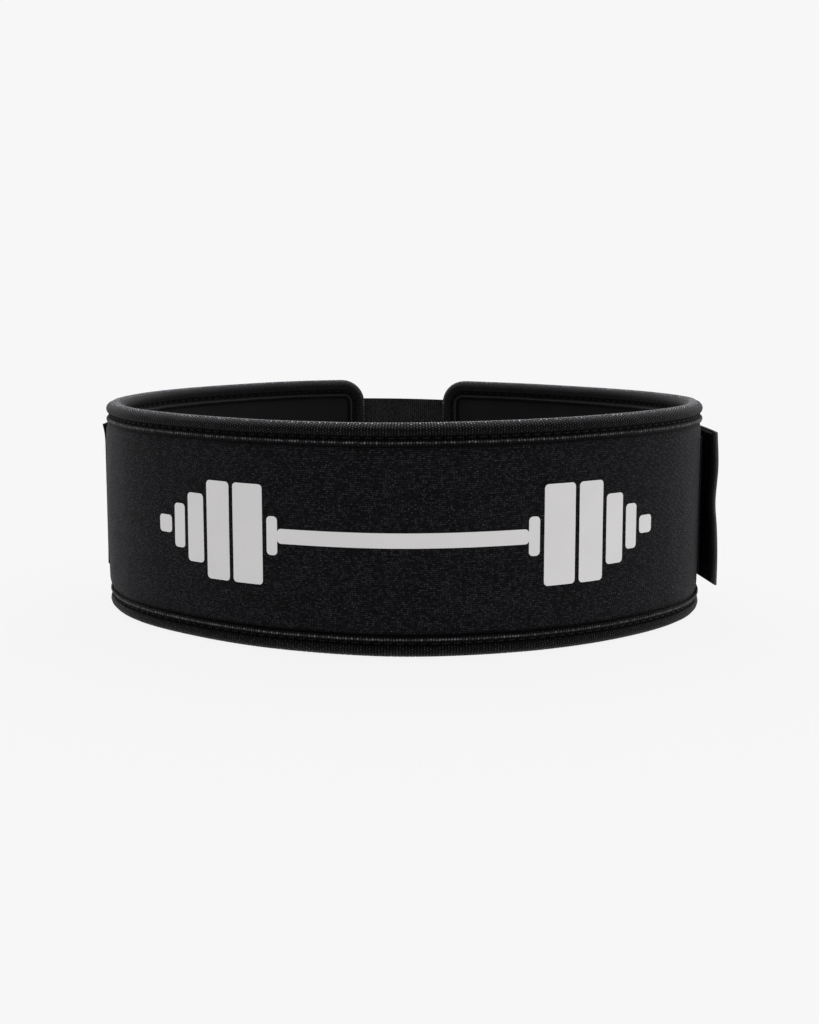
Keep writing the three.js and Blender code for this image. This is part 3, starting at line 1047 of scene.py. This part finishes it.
def makeStrapStitches():
    # rows that hold the hook tape, and a crossed box at the root
    template = oneStitch(sewing["length"], sewing["thread"])
    edge = sewing["fromEdge"]
    low, high = edge, strap["width"] - edge
    left, right = hookFront + edge, hookBack - edge / 2
    boxRight = strapRoot - sewing["boxInset"]
    boxLeft = boxRight - sewing["boxLength"]
    lines = [
        [(left, low), (right, low), (right, high), (left, high), (left, low)],
        [(boxLeft, low), (boxRight, low), (boxRight, high), (boxLeft, high), (boxLeft, low)],
        [(boxLeft, low), (boxRight, high)],
        [(boxLeft, high), (boxRight, low)],
    ]
    places = []
    for corners in lines:
        for a, b in zip(corners, corners[1:]):
            points = np.array([a, b])
            run = np.array([0, np.linalg.norm(points[1] - points[0])])
            x, z, angle = evenly(points, run, sewing["pitch"])
            out = strapOut(x, z / strap["width"]) + strap["thickness"]
            places += list(zip(x, z + strapFoot(x), out, angle, np.ones(len(x))))
    return wrapped(repeated("strap_stitches", template, places), 60)


# A plain barbell, printed across the back panel
barbell = {
    "middle": 50.5 * mm,
    "film": 0.14 * mm,
    "proud": 0.12 * mm,
    "corner": 1.8 * mm,
    "bar": (108 * mm, 6.5 * mm),
    # from the bar outwards: width, height
    "plates": [(5, 17), (15, 44), (12.5, 44), (9.5, 31), (6.5, 20)],
    "gap": 2.1 * mm,
    "sleeve": (8 * mm, 8 * mm),
    "slice": 3 * mm,
}


def printedBlock(name, x, wide, tall):
    bpy.ops.object.select_all(action="DESELECT")
    bpy.ops.mesh.primitive_plane_add(size=1, rotation=(pi / 2, 0, 0))
    piece = added(name)
    bpy.ops.object.transform_apply(location=False, rotation=True, scale=False)
    bpy.ops.object.mode_set(mode="EDIT")
    bpy.ops.mesh.select_all(action="SELECT")
    bpy.ops.transform.resize(value=(wide, 1, tall))
    bpy.ops.transform.translate(value=(x, 0, barbell["middle"]))
    bpy.ops.mesh.bevel(offset=barbell["corner"], segments=5, affect="VERTICES")
    for axis, middle, size in (("x", x, wide), ("z", barbell["middle"], tall)):
        cuts = math.ceil(size / barbell["slice"])
        for cut in range(1, cuts):
            at = middle - size / 2 + size * cut / cuts
            bpy.ops.mesh.select_all(action="SELECT")
            bpy.ops.mesh.bisect(plane_co=(at, 0, 0) if axis == "x" else (0, 0, at),
                                plane_no=(1, 0, 0) if axis == "x" else (0, 0, 1))
    bpy.ops.object.mode_set(mode="OBJECT")
    return piece


def makePrint():
    blocks = [printedBlock("print_bar", 0, *barbell["bar"])]
    for side in (-1, 1):
        x = barbell["bar"][0] / 2
        for wide, tall in barbell["plates"]:
            blocks.append(printedBlock("print_plate", side * (x + wide * mm / 2), wide * mm, tall * mm))
            x += wide * mm + barbell["gap"]
        wide, tall = barbell["sleeve"]
        blocks.append(printedBlock("print_end", side * (x + wide / 2), wide, tall))
    bpy.ops.object.select_all(action="DESELECT")
    for block in blocks:
        block.select_set(True)
    bpy.context.view_layer.objects.active = blocks[0]
    bpy.ops.object.join()
    piece = added("back_print")
    applied(piece, "SOLIDIFY", thickness=barbell["film"], offset=1)
    flat = pointsOf(piece)
    setMap(piece, flat[:, [0, 2]])
    out = faceOut(flat[:, 0], flat[:, 2], insetOf(flat), 1)
    flat[:, 1] -= out + barbell["proud"] - barbell["film"] / 2
    setPoints(piece, flat)
    return wrapped(piece, 40)


# The belt
print("pad")
lining = simulatedLining()
padBand = makePad()
rideRoot(padBand, knitFace(), "support_pad")
lineInside(padBand, smoothLining())
print("binding")
edgeTape = makeBinding()
rideRoot(edgeTape, ribbedTape(), "edge_binding")
print("strap")
strapBand = makeStrap()
rideRoot(strapBand, ribbedWebbing(), "closure_strap")
hookStrip = makeHook()
rideRoot(hookStrip, hookPile(), "hook_tape")
loopStrip = makePanel()
rideRoot(loopStrip, loopPile(), "loop_panel")
print("stitching")
rideRoot(makeBindingStitches(), thread("binding_thread", (0.008, 0.008, 0.0085)))
rideRoot(makeStrapStitches(), thread("strap_thread", (0.075, 0.075, 0.078)))
print("print")
rideRoot(makePrint(), printedFilm())

# The studio
studio = {
    "eye": (3.22 * mm, -808.18 * mm, 168.14 * mm),  # from the loop's centre
    "pitch": 8.76,
    "focal": 1650,  # pixels, for a picture 1024 pixels high
    "frameHeight": 1024,
    "floorGlow": 0.871,
    "floorColour": 0.075,
    "floorSize": 60,
    "sky": 0.93,  # as the camera sees it
    "front": 0.45,  # as it lights the belt, from the camera's side
    "back": 1.72,  # and from behind
    "side": -0.14,  # added from either side
    "lean": 0.35,  # added from the right, taken from the left
    "lightPlace": (0, 0.35, 1.1),
    "lightTarget": (0, -0.1, 0.1),
    "lightSize": (1.4, 0.5),
    "lightPower": 14,
    "sensor": 36,
    "clip": (0.01, 60),
}


def makeCamera():
    lens = bpy.data.cameras.new("camera")
    camera = bpy.data.objects.new("camera", lens)
    bpy.context.scene.collection.objects.link(camera)
    camera.location = centre + studio["eye"]
    camera.rotation_euler = (math.radians(90 - studio["pitch"]), 0, 0)
    lens.sensor_width = studio["sensor"]
    lens.lens = lens.sensor_width * studio["focal"] / studio["frameHeight"]
    lens.clip_start, lens.clip_end = studio["clip"]
    bpy.context.scene.camera = camera


def makeFloor():
    bpy.ops.object.select_all(action="DESELECT")
    bpy.ops.mesh.primitive_plane_add(size=studio["floorSize"])
    floor = added("floor")
    finish = Shade(bpy.data.materials.new("pale_floor"))
    glow = finish.node("Emission", {}, {"Color": (1, 1, 1, 1), "Strength": studio["floorGlow"]})
    matt = finish.node("BsdfDiffuse", {}, {"Color": (studio["floorColour"],) * 3 + (1,)})
    finish.node("OutputMaterial", {}, {"Surface": finish.node("AddShader", {}, {0: glow, 1: matt})})
    floor.data.materials.append(finish.owner)


def makeLight():
    # a wide lamp above, for the belt alone
    lamp = bpy.data.lights.new("top_light", "AREA")
    lamp.shape = "RECTANGLE"
    lamp.size, lamp.size_y = studio["lightSize"]
    lamp.energy = studio["lightPower"]
    light = bpy.data.objects.new("top_light", lamp)
    bpy.context.scene.collection.objects.link(light)
    light.location = studio["lightPlace"]
    direction = np.array(studio["lightTarget"]) - np.array(studio["lightPlace"])
    light.rotation_euler = Vector(direction).to_track_quat("-Z", "Y").to_euler()
    light.visible_camera = False
    light.light_linking.receiver_collection = beltCollection


def makeSky():
    # white to the camera, while the belt is lit most from behind and from the right
    world = bpy.data.worlds.new("studio")
    shade = Shade(world)
    x, y, _ = shade.split(shade.node("TexCoord", {}, {}))
    light = studio["front"] + shade.ramp(y, -0.25, 0.9) * (studio["back"] - studio["front"])
    light = shade.math("MAXIMUM", light + x * x * (x * studio["lean"] + studio["side"]), 0.02)
    seen = shade.node("LightPath", {}, {})
    strength = seen * studio["sky"] + (1 - seen) * light
    back = shade.node("Background", {}, {"Color": (1, 1, 1, 1), "Strength": strength})
    shade.node("OutputWorld", {}, {"Surface": back})
    bpy.context.scene.world = world


print("studio")
beltCollection = bpy.data.collections.new("belt")
for piece in (padBand, edgeTape, strapBand, hookStrip, loopStrip):
    beltCollection.objects.link(piece)
makeCamera()
makeFloor()
makeSky()
makeLight()
bpy.context.scene.view_settings.view_transform = "Standard"
